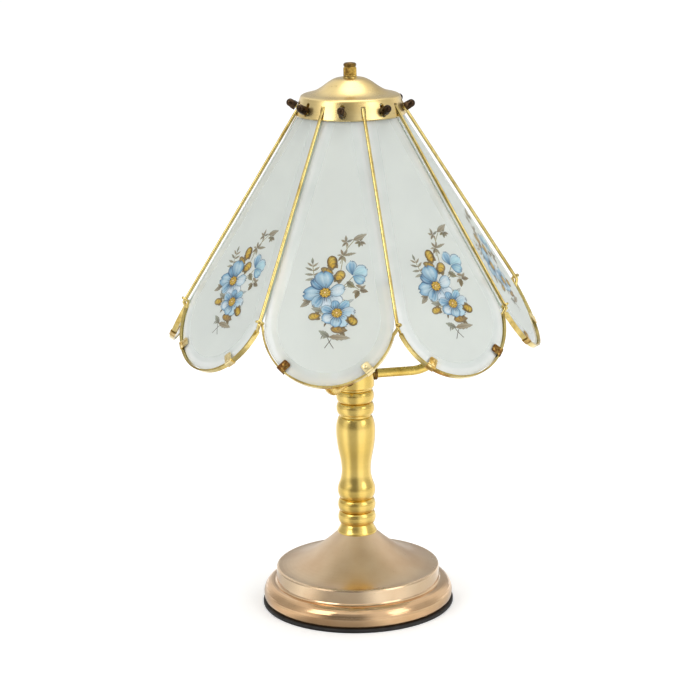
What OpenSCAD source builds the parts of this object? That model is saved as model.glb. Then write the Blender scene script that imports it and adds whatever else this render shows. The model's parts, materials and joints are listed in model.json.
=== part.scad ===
// Touch lamp with a bevelled-glass petal shade.
// Frame: +Z up, origin at the centre of the base on the table, one glass panel faces -Y.

/* [Base] */
// Diameter over the rubber ring that the lamp stands on
base_d = 133; // [128:0.5:140]
// Height of the rubber ring
ring_h = 2.6; // [2.4:0.1:4]
// Height of the rounded lower step
step_z = 16.5; // [16:0.1:17]
// Height of the rim where the flared top starts
rim_z = 27; // [25.5:0.1:28]
// Height where the brass column starts
collar_z = 50.6; // [48:0.1:53]
// Steel sheet of the base
base_t = 1.2; // [1:0.1:1.4]
// Radius of the lead's outlet bore in the bushing
cord_bore_r = 3.2; // [2.8:0.1:3.4]

/* [Column and arms] */
// Height of the arm centre lines where they leave the hub
arm_z = 163; // [162:0.1:164]
// Radius of the arm rod
arm_r = 3.2; // [3:0.05:3.3]
// Radius from the lamp's axis at which an arm starts to bend
arm_reach = 40; // [36:0.5:42]
// Bend radius of the lower bend
arm_bend = 25; // [23:0.5:27]
// Direction of the first arm, from +X towards +Y
arm_first = 21; // [0:1:60]

/* [Shade] */
// Number of petals
petals = 8; // [8]
// Radius of the frame's corners at the cap
shade_top_r = 38.6; // [38.4:0.1:38.8]
// Height of those corners
shade_top_z = 343.6; // [343.4:0.1:343.8]
// Radius of the frame's corners where the petals part
shade_r = 116.4; // [112:0.2:118]
// Height of those lower corners
shade_z = 222.3; // [219:0.1:226]
// Radius of the wire ribs between the panels
rib_r = 1.15; // [1:0.05:1.3]
// Thickness of the bowed strip, seen face on
bow_t = 1.2; // [1:0.1:1.8]
// Depth of the bowed strip, square to the glass
bow_deep = 3.4; // [3:0.1:3.8]
// Glass thickness
glass_t = 2.5; // [2.3:0.1:2.6]
// Width of the ground bevel round each panel
bevel_w = 8.5; // [6:0.5:10]

/* [Cap and finial] */
// Outer radius of the cap's lower edge
cap_r = 37.2; // [37:0.1:37.4]
// Sheet of the cap
cap_t = 0.8; // [0.6:0.1:0.8]
// Finial radius
finial_r = 4.5; // [4.3:0.1:5]
// Finial height
finial_h = 8.9; // [8.9:0.1:12]

/* [Hidden] */
$fn = 96;
eps = 0.01;
fit_gap = 0.05;

// A turn of the shade from one petal to the next, and half of it
petal_turn = 360 / petals;
half_turn = petal_turn / 2;

// Threaded pipe that clamps the stack together (1/8 IP lamp pipe)
pipe_r = 4.85;
pipe_bore_r = 3.2;
pipe_hole_r = pipe_r + fit_gap;
pipe_z = [2.4, 181];

// Base
base_r = base_d / 2;
step_r = base_r - 8.5;
wall_r = base_r - 9.5;
flare_r = base_r - 11.3;
collar_r = 13.6;
weight_z = [7, step_z - base_t - fit_gap];
pad_t = 1.6;
bushing_z = 10;
bushing_in = 4.5;

// Heights of the column's stacked pieces
lower_beads_z = collar_z + 6.4;
baluster_z = lower_beads_z + 18;
upper_beads_z = baluster_z + 60.5;
hub_z = upper_beads_z + 17.5;
hub_top_z = 173;
bead_r = 13.1;
groove_r = 10.9;
hub_r = 13.4;

// Arms: a horizontal run, a bend, a nearly upright run, a bend, and a run up into the boss
arm_lean = 98;
arm_rise = 95;
arm_top_bend = 30;
arm_top_lean = 125;
arm_top_run = 68.2;
arm_inner_r = 8.8;
arms = 3;

// Boss on top of the arms, and what stacks on it
boss_r = 15.5;
boss_z = [347.5, 364.9];
stud_r = 3.1;
stud_z = [351, 374.1];
seat_t = 1.5;
seat_r = 6.6;
cap_top_z = boss_z[1] + seat_t + cap_t;
finial_washer_t = 0.8;
finial_z = cap_top_z + finial_washer_t;
knurls = 30;

// Socket and bulb
socket_z = 173;
socket_r = 16.8;
shell_z = [186, 226];
screw_r = 13.2;
bulb_z = 197;
bulb_r = 30;
bulb_centre_z = 273;

// Shade facets: local x across the petal, y up the slope, z out through the glass
facet_in = shade_top_r * cos(half_turn);
facet_out = shade_r * cos(half_turn);
slope = atan2(facet_out - facet_in, shade_top_z - shade_z);
facet_l = norm([facet_out - facet_in, shade_top_z - shade_z]);
corner_top = shade_top_r * sin(half_turn);
corner_low = shade_r * sin(half_turn);
taper = atan2(corner_low - corner_top, facet_l);
bow_y = -(facet_l - 3.5);
bow_path_r = corner_low - 2.05;
bow_w = -(rib_r + 0.1 + glass_t / 2);
bow_open = 9;
glass_w = -(rib_r + 0.1);
glass_r = bow_path_r - bow_t / 2 - 0.4;
glass_foot = bow_y + glass_r * sin(taper);
glass_top_y = 8.5;
bevel_d = 1.3;
rib_end_y = 8;
hook_ring_r = rib_r + 1;
hook_r = 0.9;
clip_turn = 42;

// Cap profile and its openings
band_top_r = 33.6;
band_top_z = 354.5;
slot_z = [346.6, 351.6];
slot_hole_r = 2.3;
clamp_y = 3.1;
clamp_stud_r = 1.3;
nut_w = 2.7;
nut_l = 7.2;

brass = [0.83, 0.70, 0.36];
dark_brass = [0.30, 0.22, 0.14];
rose_metal = [0.76, 0.64, 0.52];
milk_glass = [0.84, 0.87, 0.84];

// ---------- helpers ----------

// Turned piece: outer profile points [r, z] from the bottom up, round a bore
module turned(outer, bore_r) {
    first = outer[0];
    last = outer[len(outer) - 1];
    rotate_extrude()
        polygon(concat([[bore_r, first[1]]], outer, [[bore_r, last[1]]]));
}

// Spun sheet: the same profile pulled in and down by the sheet's thickness
module spun(outer, t) {
    count = len(outer);
    inner = [for (i = [count - 1:-1:0]) [outer[i][0] - t, outer[i][1] - t]];
    rotate_extrude()
        polygon(concat(outer, inner));
}

module tube(r_out, r_in, z_low, z_high) {
    translate([0, 0, z_low])
        difference() {
            cylinder(r = r_out, h = z_high - z_low);
            translate([0, 0, -1])
                cylinder(r = r_in, h = z_high - z_low + 2);
        }
}

// Straight rod between two points
module rod(a, b, r) {
    d = b - a;
    translate(a)
        rotate([0, acos(d[2] / norm(d)), atan2(d[1], d[0])])
            cylinder(r = r, h = norm(d));
}

// Smooth curve through control points (Catmull-Rom), with the given steps in each span
function through(p, i) = p[max(0, min(len(p) - 1, i))];
function blend(a, b, c, d, t) =
    0.5 * (2 * b + (c - a) * t + (2 * a - 5 * b + 4 * c - d) * pow(t, 2)
           + (3 * b - a - 3 * c + d) * pow(t, 3));
function smooth(p, steps) = concat(
    [for (i = [0:len(p) - 2], s = [0:steps - 1])
        blend(through(p, i - 1), p[i], p[i + 1], through(p, i + 2), s / steps)],
    [p[len(p) - 1]]
);

// Profile of one rounded bead from z to z + h
function bead(z, h) = [
    for (a = [-90:15:90]) [groove_r + (bead_r - groove_r) * cos(a), z + h / 2 + h / 2 * sin(a)]
];

// Puts a child on petal k, in the facet's own frame
module on_petal(k) {
    rotate([0, 0, petal_turn * (k - 1)])
        translate([0, -facet_in, shade_top_z])
            rotate([90 - slope, 0, 0])
                children();
}

module on_arm(k) {
    rotate([0, 0, arm_first + 360 / arms * (k - 1)])
        children();
}

// ---------- base ----------

// The flared top of the base falls from the column to the rim
function flare(r) =
    rim_z + (collar_z - rim_z) * pow(1 - (r - collar_r) / (flare_r - collar_r), 1.7);

function base_profile() = concat(
    [for (a = [-36:9:90]) [step_r + 7.9 * cos(a), step_z - 8.9 + 8.9 * sin(a)]],
    [[wall_r + 0.5, step_z + 0.4], [wall_r, step_z + 1.1], [wall_r - 0.4, rim_z - 1.4],
     [wall_r - 0.8, rim_z - 0.5]],
    [for (i = [0:16]) let (r = flare_r - (flare_r - collar_r) * i / 16) [r, flare(r)]],
    [[pipe_hole_r + base_t, collar_z]]
);

module base_shell() {
    color(rose_metal)
        difference() {
            spun(base_profile(), base_t);
            cylinder(r = base_r + 5, h = ring_h - 0.15);
            translate([0, base_r - 15, bushing_z])
                rotate([-90, 0, 0])
                    cylinder(r = bushing_in, h = 20);
        }
}

module base_ring() {
    color([0.05, 0.05, 0.05])
        rotate_extrude()
            polygon([[base_r - 6, 0], [base_r - 0.4, 0], [base_r, 0.6], [base_r, ring_h - 0.9],
                     [base_r - 0.5, ring_h - 0.2], [base_r - 3.4, ring_h - 0.2],
                     [base_r - 3.4, pad_t], [base_r - 6, pad_t]]);
}

module base_pad() {
    color([0.1, 0.1, 0.1])
        cylinder(r = base_r - 6 - fit_gap, h = pad_t);
}

module base_weight() {
    color([0.25, 0.25, 0.26])
        difference() {
            tube(wall_r + 0.2, pipe_hole_r, weight_z[0], weight_z[1]);
            translate([0, wall_r, weight_z[0] - 1])
                cylinder(r = 8, h = 20);
        }
}

// Sensor box on top of the weight, with its two fixing lugs
module touch_module() {
    color([0.85, 0.85, 0.82])
        translate([-46, -14, weight_z[1] + fit_gap]) {
            cube([30, 28, 9]);
            translate([-4, 9, 0])
                cube([38, 10, 1.6]);
        }
}

// Snap bushing in the back of the base, with the lead's outlet bore
module cord_bushing() {
    color([0.06, 0.06, 0.06])
        translate([0, base_r - 9.5, bushing_z])
            rotate([-90, 0, 0])
                difference() {
                    union() {
                        cylinder(r = bushing_in - fit_gap, h = 11);
                        translate([0, 0, 9.2])
                            cylinder(r = bushing_in + 1.6, h = 1.8);
                    }
                    translate([0, 0, -1])
                        cylinder(r = cord_bore_r, h = 20);
                }
}

module threaded_pipe() {
    color([0.7, 0.7, 0.68])
        tube(pipe_r, pipe_bore_r, pipe_z[0], pipe_z[1]);
}

module hex_nut(z) {
    translate([0, 0, z])
        difference() {
            cylinder(r = 8.2, h = 3.2, $fn = 6);
            translate([0, 0, -1])
                cylinder(r = pipe_hole_r, h = 6);
        }
}

// One nut clamps the weight from below, one clamps the base shell to the column
module pipe_nuts() {
    color([0.75, 0.75, 0.72]) {
        hex_nut(weight_z[0] - 4.05);
        hex_nut(collar_z - base_t - 4.3);
    }
}

module pipe_washers() {
    color([0.75, 0.75, 0.72]) {
        tube(10, pipe_hole_r, weight_z[0] - 0.8, weight_z[0] - fit_gap);
        tube(10, pipe_hole_r, collar_z - base_t - 1.05, collar_z - base_t - fit_gap);
    }
}

// Two insulated leads from the sensor box up the pipe to the socket
module lead_wires() {
    color([0.1, 0.1, 0.1])
        for (side = [-1, 1])
            translate([0, side * 1.4, weight_z[1] + 1])
                cylinder(r = 1.2, h = pipe_z[1] - weight_z[1]);
}

// ---------- column ----------

module column_collar() {
    color(brass)
        turned(smooth([[collar_r, collar_z + fit_gap], [collar_r, collar_z + 1],
                       [12.9, collar_z + 2.2], [12.1, collar_z + 3.8], [11.5, collar_z + 5.2],
                       [groove_r, lower_beads_z]], 4), pipe_hole_r);
}

module bead_pair(z, h) {
    color(brass)
        turned(concat([[groove_r, z]], bead(z, h / 2), bead(z + h / 2, h / 2), [[groove_r, z + h]]),
               pipe_hole_r);
}

module baluster() {
    color(brass)
        translate([0, 0, baluster_z])
            turned(smooth([[11, 0], [12.3, 2], [13.1, 5.1], [12.75, 8.9], [10.9, 14.5],
                           [10.2, 20], [10.8, 27.4], [12.6, 36.6], [13.5, 44.2], [13.65, 49.8],
                           [13.1, 54.4], [11.9, 58.2], [groove_r, 59.3], [groove_r, 60.5]], 5),
                   pipe_hole_r);
}

// Hub that the arms screw into
module arm_hub() {
    color(brass)
        difference() {
            turned([[groove_r + 0.4, hub_z], [groove_r + 1.3, hub_z + 0.5], [groove_r + 1.3, hub_z + 1.3],
                    [hub_r - 0.7, hub_z + 1.7], [hub_r, hub_z + 2.6], [hub_r, hub_top_z - 2],
                    [hub_r - 0.8, hub_top_z - 0.6], [hub_r - 2.2, hub_top_z]], pipe_hole_r);
            for (k = [1:arms])
                on_arm(k)
                    translate([arm_inner_r - 0.1, 0, arm_z])
                        rotate([0, 90, 0])
                            cylinder(r = arm_r + fit_gap, h = 12);
        }
}

module arm_ferrules() {
    color(dark_brass)
        for (k = [1:arms])
            on_arm(k)
                translate([hub_r + fit_gap, 0, arm_z])
                    rotate([0, 90, 0])
                        difference() {
                            cylinder(r = arm_r + 1.3, h = 1.9);
                            translate([0, 0, -1])
                                cylinder(r = arm_r + fit_gap, h = 4);
                        }
}

// ---------- arms: points where runs meet bends, in the arm's own [r, z] plane ----------

function heading(a) = [cos(a), sin(a)];
function bent(p, from, to, r) = p + r * [sin(to) - sin(from), cos(from) - cos(to)];
arm_a = [arm_reach, arm_z];
arm_b = bent(arm_a, 0, arm_lean, arm_bend);
arm_c = arm_b + arm_rise * heading(arm_lean);
arm_d = bent(arm_c, arm_lean, arm_top_lean, arm_top_bend);
arm_e = arm_d + arm_top_run * heading(arm_top_lean);
arm_bore_end = arm_e + 0.1 * heading(arm_top_lean);

module arm_run(a, b) {
    rod([a[0], 0, a[1]], [b[0], 0, b[1]], arm_r);
}

// Bend in the arm's plane from one heading to another, starting at p
module arm_turn(p, from, to, r) {
    translate([p[0] - r * sin(from), 0, p[1] + r * cos(from)])
        rotate([90, 0, 0])
            rotate([0, 0, from - 90])
                rotate_extrude(angle = to - from)
                    translate([r, 0])
                        circle(r = arm_r);
}

module arm(k) {
    color(brass)
        on_arm(k) {
            arm_run([arm_inner_r, arm_z], arm_a);
            arm_turn(arm_a, 0, arm_lean, arm_bend);
            arm_run(arm_b, arm_c);
            arm_turn(arm_c, arm_lean, arm_top_lean, arm_top_bend);
            arm_run(arm_d, arm_e);
            for (p = [arm_a, arm_b, arm_c, arm_d])
                translate([p[0], 0, p[1]])
                    sphere(r = arm_r + 0.05, $fn = 48);
        }
}

// Boss that joins the arms and carries the shade
module harp_boss() {
    color(brass)
        difference() {
            turned([[boss_r - 4, boss_z[0]], [boss_r, boss_z[0] + 2], [boss_r, boss_z[1] - 6],
                    [boss_r - 4.7, boss_z[1]]], stud_r + fit_gap);
            for (k = [1:arms])
                on_arm(k)
                    rod([arm_d[0], 0, arm_d[1]], [arm_bore_end[0], 0, arm_bore_end[1]], arm_r + fit_gap);
        }
}

module finial_stud() {
    color(brass)
        translate([0, 0, stud_z[0]])
            cylinder(r = stud_r, h = stud_z[1] - stud_z[0]);
}

// ---------- socket and bulb ----------

module socket_cap() {
    color(brass)
        translate([0, 0, socket_z])
            rotate_extrude()
                polygon([[pipe_hole_r, 0.1], [9, 0.1], [10, 1.6], [12.8, 3.5], [15.4, 6.8],
                         [socket_r, 11], [socket_r, 16], [socket_r - 0.8, 16],
                         [socket_r - 0.8, 11.2], [14.7, 7.3], [12.3, 4.3], [9.4, 2.4],
                         [8.5, 0.9], [pipe_hole_r, 0.9]]);
}

module socket_shell() {
    color(brass)
        rotate_extrude()
            polygon([[socket_r + 0.05, shell_z[0] + 0.1], [socket_r + 0.7, shell_z[0] + 0.1],
                     [socket_r + 0.7, shell_z[0] + 5], [socket_r + 0.1, shell_z[0] + 6],
                     [socket_r + 0.1, shell_z[1] - 2], [socket_r + 0.8, shell_z[1] - 1],
                     [socket_r + 0.1, shell_z[1]], [socket_r - 0.5, shell_z[1]],
                     [socket_r - 0.5, shell_z[0] + 5], [socket_r + 0.05, shell_z[0] + 4.4]]);
}

module socket_liner() {
    color([0.5, 0.42, 0.32])
        tube(socket_r - 1, socket_r - 1.6, shell_z[0] + 4, shell_z[1] - 1);
}

// Insulating body that carries the contacts, on top of the pipe
module socket_core() {
    color([0.15, 0.12, 0.1])
        difference() {
            translate([0, 0, pipe_z[1] + 0.5])
                cylinder(r = screw_r + 1.6, h = 14);
            translate([0, 0, bulb_z - 3])
                cylinder(r = screw_r + 0.6, h = 4);
            translate([0, 0, pipe_z[1]])
                cylinder(r = 3, h = 5);
        }
}

module screw_shell() {
    color(brass)
        tube(screw_r + 0.5, screw_r, bulb_z - 2.9, shell_z[1] - 3);
}

module center_contact() {
    color(brass)
        translate([0, 0, bulb_z - 2.95])
            cylinder(r = 3, h = 2.6);
}

function bulb_profile() = concat(
    [[11.8, shell_z[1] - 3.6], [12.8, shell_z[1] - 0.6], [13.4, shell_z[1] + 4]],
    smooth([[14.4, 237], [18.2, 246], [24, 255.4]], 4),
    [for (a = [-30:10:80]) [bulb_r * cos(a), bulb_centre_z + bulb_r * sin(a)]]
);

// Blown bulb, open at the neck
module bulb_glass() {
    outer = bulb_profile();
    count = len(outer);
    inner = [for (i = [count - 1:-1:0]) [outer[i][0] * 0.97 - (i < 2 ? 0.2 : 0), outer[i][1] - (i > 15 ? 0.8 : 0)]];
    color([0.95, 0.95, 0.93])
        rotate_extrude()
            polygon(concat(outer, [[0, bulb_centre_z + bulb_r], [0, bulb_centre_z + bulb_r - 0.9]], inner));
}

// Screw base: a threaded-look shell, an insulator and the tip contact
module bulb_base() {
    color([0.72, 0.72, 0.7])
        rotate_extrude()
            polygon(concat(
                [[0, bulb_z], [3.5, bulb_z], [4.2, bulb_z + 1], [8, bulb_z + 2.6], [11.6, bulb_z + 4]],
                [for (i = [0:11]) [i % 2 == 0 ? 12.9 : 12.3, bulb_z + 5 + i * 1.7]],
                [[12.6, bulb_z + 25.4], [13.6, bulb_z + 27.5], [13.6, bulb_z + 28.4], [12.95, bulb_z + 28.4],
                 [12, bulb_z + 25], [11.6, bulb_z + 6], [0, bulb_z + 6]]
            ));
}

// Glass stem, two supports and the coiled filament between them
module bulb_filament() {
    color([0.6, 0.6, 0.6]) {
        translate([0, 0, bulb_z + 6 + fit_gap])
            cylinder(r1 = 6, r2 = 2.2, h = 42);
        for (side = [-1, 1])
            rod([side * 1.2, 0, bulb_z + 44], [side * 9, 0, bulb_centre_z + 3], 0.5);
        rod([-9.4, 0, bulb_centre_z + 2.6], [9.4, 0, bulb_centre_z + 2.6], 0.7);
    }
}

// ---------- shade cap ----------

function cap_profile() = concat(
    [[cap_r, shade_top_z - 0.1], [band_top_r, band_top_z]],
    smooth([[33.2, 355.3], [32, 356], [29.8, 356.6], [27.2, 357.2], [24.8, 358], [22.2, 359.2],
            [18.8, 361.3], [15.4, 363.8], [13, 365.3], [10.8, 366.4], [8.6, 367.05],
            [7, cap_top_z]], 3),
    [[stud_r + 0.5 + cap_t, cap_top_z]]
);

// Keyhole cut outwards through the band: a round hole of radius r under a narrower slot
module keyhole(r, w, z) {
    translate([0, 0, z[0]])
        rotate([90, 0, 0])
            cylinder(r = r, h = 60);
    translate([0, 0, z[1]])
        rotate([90, 0, 0])
            cylinder(r = w / 2 + 0.1, h = 60);
    translate([-w / 2, -60, z[0]])
        cube([w, 60, z[1] - z[0]]);
}

module shade_cap() {
    color(brass)
        difference() {
            spun(cap_profile(), cap_t);
            for (k = [1:petals])
                rotate([0, 0, petal_turn * (k - 1)]) {
                    keyhole(slot_hole_r, 2 * clamp_stud_r + 0.4, slot_z);
                    rotate([0, 0, half_turn])
                        translate([-rib_r - 0.4, -60, shade_top_z + 0.9])
                            cube([2 * rib_r + 0.8, 60, 7.4]);
                }
        }
}

module seat_washer() {
    color([0.35, 0.2, 0.12])
        tube(seat_r, stud_r + 0.3, boss_z[1] + fit_gap, cap_top_z - cap_t - fit_gap);
}

// ---------- petals, in the facet's own frame ----------

// Corner line of the facet at height y up the slope
function corner(y) = corner_top - y * tan(taper);

// Where the bowed strip ends, at the given side
function bow_end(side) = [side * bow_path_r * cos(bow_open), bow_y - bow_path_r * sin(bow_open), bow_w];

// Frame wire: a rib up to the cap, a bowed strip round the glass and a hook on the next rib
module frame_wire(k) {
    foot = [corner_low, -facet_l, 0];
    hook = [-corner(2 - facet_l), 2 - facet_l, 0];
    hook_from = hook + hook_ring_r * [cos(55) * cos(taper), -cos(55) * sin(taper), -sin(55)];
    color(brass)
        on_petal(k) {
            rod([corner(rib_end_y), rib_end_y, 0], foot, rib_r);
            translate(foot)
                sphere(r = rib_r + 0.04, $fn = 32);
            rod(foot, bow_end(1), rib_r);
            translate(bow_end(1))
                sphere(r = rib_r + 0.04, $fn = 32);
            translate([0, bow_y, bow_w])
                rotate([0, 0, 180 + bow_open])
                    rotate_extrude(angle = 180 - 2 * bow_open)
                        translate([bow_path_r - bow_t / 2, -bow_deep / 2])
                            square([bow_t, bow_deep]);
            translate(bow_end(-1))
                sphere(r = hook_r + 0.04, $fn = 32);
            rod(bow_end(-1), hook_from, hook_r);
            translate(hook_from)
                sphere(r = hook_r + 0.04, $fn = 32);
            translate(hook)
                rotate([0, 0, -taper])
                    rotate([90, 0, 0])
                        rotate([0, 0, -55])
                            rotate_extrude(angle = 205)
                                translate([hook_ring_r, 0])
                                    circle(r = hook_r);
        }
}

// Half width of the glass at height y: its sides run into the round foot
function glass_x(y) = glass_r * cos(taper) - (y - glass_foot) * tan(taper);

module glass_outline() {
    polygon([[glass_x(glass_top_y), glass_top_y], [-glass_x(glass_top_y), glass_top_y],
             [-glass_x(glass_foot), glass_foot], [glass_x(glass_foot), glass_foot]]);
    translate([0, bow_y])
        circle(r = glass_r);
}

// What the ground bevel takes from the front edge of one side, above the round foot
module side_bevel(side) {
    mirror([side < 0 ? 1 : 0, 0, 0])
        translate([glass_x(glass_foot), glass_foot, -bevel_d])
            rotate([0, 0, taper])
                rotate([0, atan2(bevel_d, bevel_w), 0])
                    translate([-bevel_w - 2, 0, 0])
                        cube([bevel_w + 8, facet_l + 40, 5]);
}

// What it takes round the foot
module foot_bevel() {
    translate([0, bow_y, 0])
        difference() {
            translate([0, 0, -bevel_d])
                cylinder(r = glass_r + 4, h = bevel_d + 3);
            translate([0, 0, -bevel_d - 1])
                cylinder(r = glass_r + bevel_w / bevel_d, h = 1);
            translate([0, 0, -bevel_d])
                cylinder(r1 = glass_r, r2 = glass_r - 2 * bevel_w, h = 2 * bevel_d);
            intersection_for(side = [-1, 1])
                rotate([0, 0, side * taper])
                    translate([-2 * glass_r, 0, -9])
                        cube([4 * glass_r, 2 * glass_r, 18]);
        }
}

module glass_panel(k) {
    color(milk_glass)
        on_petal(k)
            translate([0, 0, glass_w])
                difference() {
                    translate([0, 0, -glass_t])
                        linear_extrude(glass_t)
                            glass_outline();
                    side_bevel(1);
                    side_bevel(-1);
                    foot_bevel();
                }
}

// Sheet clip folded over the bowed strip, with a dimple on its front tab
module wire_clip() {
    w = 5.6;
    t = 0.6;
    inner = bow_path_r - bow_t / 2;
    out = bow_path_r + bow_t / 2 + fit_gap;
    over = bow_w + bow_deep / 2 + fit_gap;
    under = bow_w - bow_deep / 2 - fit_gap - t;
    front = glass_w + fit_gap;
    back = glass_w - glass_t - fit_gap - t;
    for (z = [over, under])
        translate([inner - 0.9, -w / 2, z])
            cube([out - inner + 0.9 + t, w, t]);
    for (z = [front, back])
        translate([out - 7.6, -w / 2, z])
            cube([inner - 0.2 - out + 7.6, w, t]);
    translate([out, -w / 2, under])
        cube([t, w, over + t - under]);
    translate([out - 5.4, 0, front])
        cylinder(r = 1.2, h = t + 0.35);
}

module wire_clips() {
    color(brass)
        for (k = [1:petals], side = [-1, 1])
            on_petal(k)
                translate([0, bow_y, 0])
                    rotate([0, 0, -90 + side * clip_turn])
                        wire_clip();
}

// Channel over the glass's top edge, with the stud that the nut draws out through the slot
module glass_clamps() {
    w = 11;
    t = 0.6;
    front = glass_w + 0.05;
    back = glass_w - glass_t - 0.05 - t;
    color(brass)
        for (k = [1:petals])
            on_petal(k) {
                for (z = [front, back])
                    translate([-w / 2, glass_top_y - 6.5, z])
                        cube([w, 6.6 + t, t]);
                translate([-w / 2, glass_top_y + 0.1, back])
                    cube([w, t, front + t - back]);
                translate([0, clamp_y, front + t / 2])
                    cylinder(r = clamp_stud_r, h = 7);
            }
}

// Domed nut on the stud, seated against the band
module clamp_nut(k) {
    seat = 3.2;
    color(dark_brass)
        on_petal(k)
            translate([0, clamp_y, seat])
                difference() {
                    union() {
                        cylinder(r = nut_w / cos(30), h = 2.8, $fn = 6);
                        rotate_extrude()
                            polygon(concat([[0, 2]], [[nut_w, 2], [nut_w, nut_l - nut_w]],
                                [for (a = [15:15:90]) [nut_w * cos(a), nut_l - nut_w + nut_w * sin(a)]]));
                    }
                    translate([0, 0, -1])
                        cylinder(r = clamp_stud_r + fit_gap, h = 6);
                }
}

// ---------- finial ----------

module finial_washer() {
    color(brass)
        tube(finial_r + 0.3, stud_r + 0.3, cap_top_z + fit_gap, finial_z - fit_gap);
}

module finial() {
    color(brass)
        translate([0, 0, finial_z])
            difference() {
                rotate_extrude()
                    polygon([[0, 0], [finial_r - 0.3, 0], [finial_r, 0.4], [finial_r, finial_h - 3.3],
                             [finial_r - 0.5, finial_h - 2.9], [finial_r - 0.5, finial_h - 2.2],
                             [finial_r - 0.1, finial_h - 1.8], [finial_r - 0.1, finial_h - 0.9],
                             [finial_r - 0.8, finial_h - 0.1], [2.6, finial_h], [2.2, finial_h - 0.5],
                             [0, finial_h - 0.5]]);
                translate([0, 0, -1])
                    cylinder(r = stud_r + fit_gap, h = stud_z[1] - finial_z + 1.6);
                for (i = [0:knurls - 1])
                    rotate([0, 0, 360 / knurls * i])
                        translate([finial_r + 0.15, 0, 1])
                            rotate([0, 0, 45])
                                translate([-0.25, -0.25, 0])
                                    cube([0.5, 0.5, finial_h - 4.7]);
            }
}

// ---------- nodes ----------

base_shell();
base_ring();
base_pad();
base_weight();
touch_module();
cord_bushing();
threaded_pipe();
pipe_nuts();
pipe_washers();
lead_wires();
column_collar();
bead_pair(lower_beads_z, baluster_z - lower_beads_z);  // lower_beads
baluster();
bead_pair(upper_beads_z, hub_z - upper_beads_z);  // upper_beads
arm_hub();
arm_ferrules();
harp_boss();
finial_stud();
socket_cap();
socket_shell();
socket_liner();
socket_core();
screw_shell();
center_contact();
bulb_glass();
bulb_base();
bulb_filament();
shade_cap();
seat_washer();
wire_clips();
glass_clamps();
finial_washer();
finial();
for (k = [1:arms])
    arm(k);
for (k = [1:petals])
    frame_wire(k);
for (k = [1:petals])
    glass_panel(k);
for (k = [1:petals])
    clamp_nut(k);
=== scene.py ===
"""Touch lamp with a petal shade of frosted, bevelled glass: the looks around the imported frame."""

import json
import math
import random

import bmesh
import bpy
from mathutils import Matrix, Vector


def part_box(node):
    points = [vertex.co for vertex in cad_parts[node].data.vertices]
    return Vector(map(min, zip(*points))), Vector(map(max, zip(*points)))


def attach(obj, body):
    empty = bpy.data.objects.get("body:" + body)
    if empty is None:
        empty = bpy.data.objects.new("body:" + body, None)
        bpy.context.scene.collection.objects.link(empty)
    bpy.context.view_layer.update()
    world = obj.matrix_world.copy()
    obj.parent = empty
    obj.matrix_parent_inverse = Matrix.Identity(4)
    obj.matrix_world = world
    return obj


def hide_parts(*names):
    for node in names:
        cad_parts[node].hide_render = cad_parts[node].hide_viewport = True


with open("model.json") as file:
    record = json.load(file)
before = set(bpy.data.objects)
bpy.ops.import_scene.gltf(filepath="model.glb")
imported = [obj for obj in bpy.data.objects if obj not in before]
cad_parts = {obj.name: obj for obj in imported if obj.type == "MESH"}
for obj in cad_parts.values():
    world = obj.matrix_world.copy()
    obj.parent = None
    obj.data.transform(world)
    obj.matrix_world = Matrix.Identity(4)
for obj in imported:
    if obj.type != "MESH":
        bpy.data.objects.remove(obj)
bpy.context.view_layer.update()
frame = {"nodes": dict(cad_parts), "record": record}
nodes = frame["nodes"]

MM = 0.001
PETALS = 8
HALF_TURN = math.radians(180 / PETALS)

# The shade's facets, as in the part's own design, in millimetres. A petal's own frame has x across it, y up
# its slope from the top corners' line, and z out of it.
SHADE_TOP_R, SHADE_TOP_Z = 38.6, 343.6  # corners at the top of the facets
SHADE_R, SHADE_Z = 116.4, 222.3  # corners at their foot
RIB_R = 1.15
BOW_T, BOW_DEEP = 1.2, 3.4  # bowed strip: thickness, and depth through the glass
GAP = 0.1  # between a rib and the glass behind it
GLASS_T = 2.5
BEVEL_W, BEVEL_D = 8.5, 1.3
RIM_W = 4.4  # outer part of the bevel that is clear
GLASS_TOP_Y = 8.5
FACET_IN = SHADE_TOP_R * math.cos(HALF_TURN)
FACET_OUT = SHADE_R * math.cos(HALF_TURN)
SLOPE = math.atan2(FACET_OUT - FACET_IN, SHADE_TOP_Z - SHADE_Z)
FACET_L = math.hypot(FACET_OUT - FACET_IN, SHADE_TOP_Z - SHADE_Z)
CORNER_LOW = SHADE_R * math.sin(HALF_TURN)
TAPER = math.atan2(CORNER_LOW - SHADE_TOP_R * math.sin(HALF_TURN), FACET_L)
BOW_Y = -(FACET_L - 3.5)
BOW_PATH_R = CORNER_LOW - 2.05
GLASS_W = -(RIB_R + GAP)  # outer face of the glass
BOW_W = GLASS_W - GLASS_T / 2  # middle of the bowed strip
GLASS_R = BOW_PATH_R - BOW_T / 2 - 0.4
CLIP_TURN = math.radians(42)  # from the middle of the foot to a clip
FINIAL_HEAD_Z = 0.3741  # foot of the finial's dark head, in metres


def petal_matrix(k):
    """From petal k's own frame, in millimetres, to the model's frame, in metres."""
    turn = Matrix.Rotation(math.radians(360 / PETALS * (k - 1)), 4, "Z")
    place = Matrix.Translation((0, -FACET_IN, SHADE_TOP_Z))
    tilt = Matrix.Rotation(math.pi / 2 - SLOPE, 4, "X")
    return Matrix.Scale(MM, 4) @ turn @ place @ tilt


# ---------- materials ----------


def linear(r, g, b):
    """Linear colour of an sRGB colour given in 0 to 255."""
    out = [c / 255 for c in (r, g, b)]
    return tuple(c / 12.92 if c <= 0.04045 else ((c + 0.055) / 1.055) ** 2.4 for c in out) + (1.0,)


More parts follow.
